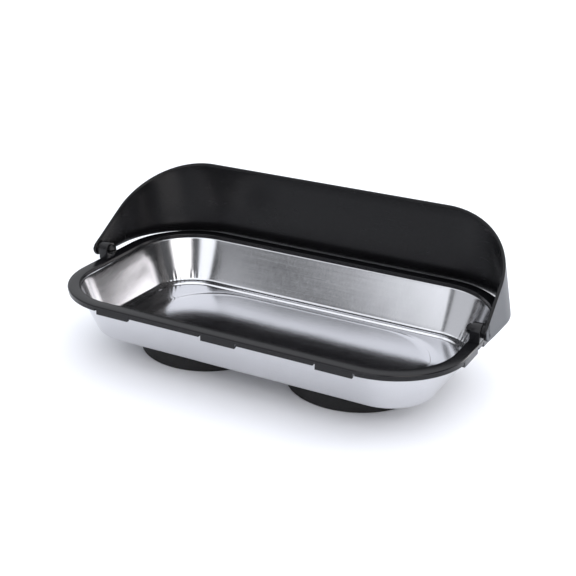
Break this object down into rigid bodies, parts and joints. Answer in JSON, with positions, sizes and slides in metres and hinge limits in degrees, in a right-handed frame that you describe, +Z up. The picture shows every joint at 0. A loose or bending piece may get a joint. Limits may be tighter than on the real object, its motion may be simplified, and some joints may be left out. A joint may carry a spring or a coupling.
{
  "type": "magnetic parts tray",
  "caption": "Long steel sorting dish in a black moulded rim, with a swing-over plastic guard hinged on the short sides and round magnet feet.",
  "frame": {"origin": "on the table, under the centre of the product's footprint with the guard upright", "axes": "+X along the tray to the right, +Y to the back where the upright guard stands, +Z up"},
  "size_m": [0.2482, 0.1368, 0.0921],
  "materials": {
    "steel": "pressed stainless steel, polished with fine drawn lines",
    "black_plastic": "black moulded plastic with a satin sheen",
    "rubber": "matte black rubber",
    "zinc": "zinc-plated steel",
    "ferrite": "dark grey sintered ferrite"
  },
  "bodies": {
    "tray": {"steel_dish": "steel", "rim_frame": "black_plastic", "left_weld_stud": "zinc", "left_magnet_pot": "zinc", "left_ring_magnet": "ferrite", "left_washer": "zinc", "left_lock_nut": "zinc", "left_rubber_boot": "rubber", "right_weld_stud": "zinc", "right_magnet_pot": "zinc", "right_ring_magnet": "ferrite", "right_washer": "zinc", "right_lock_nut": "zinc", "right_rubber_boot": "rubber"},
    "guard": {"guard": "black_plastic"}
  },
  "joints": [
    {"name": "guard_swing", "type": "hinge", "parent": "tray", "child": "guard", "pos_m": [0, -0.0058, 0.0476], "axis": [1, 0, 0], "range_deg": [0, 180]}
  ]
}
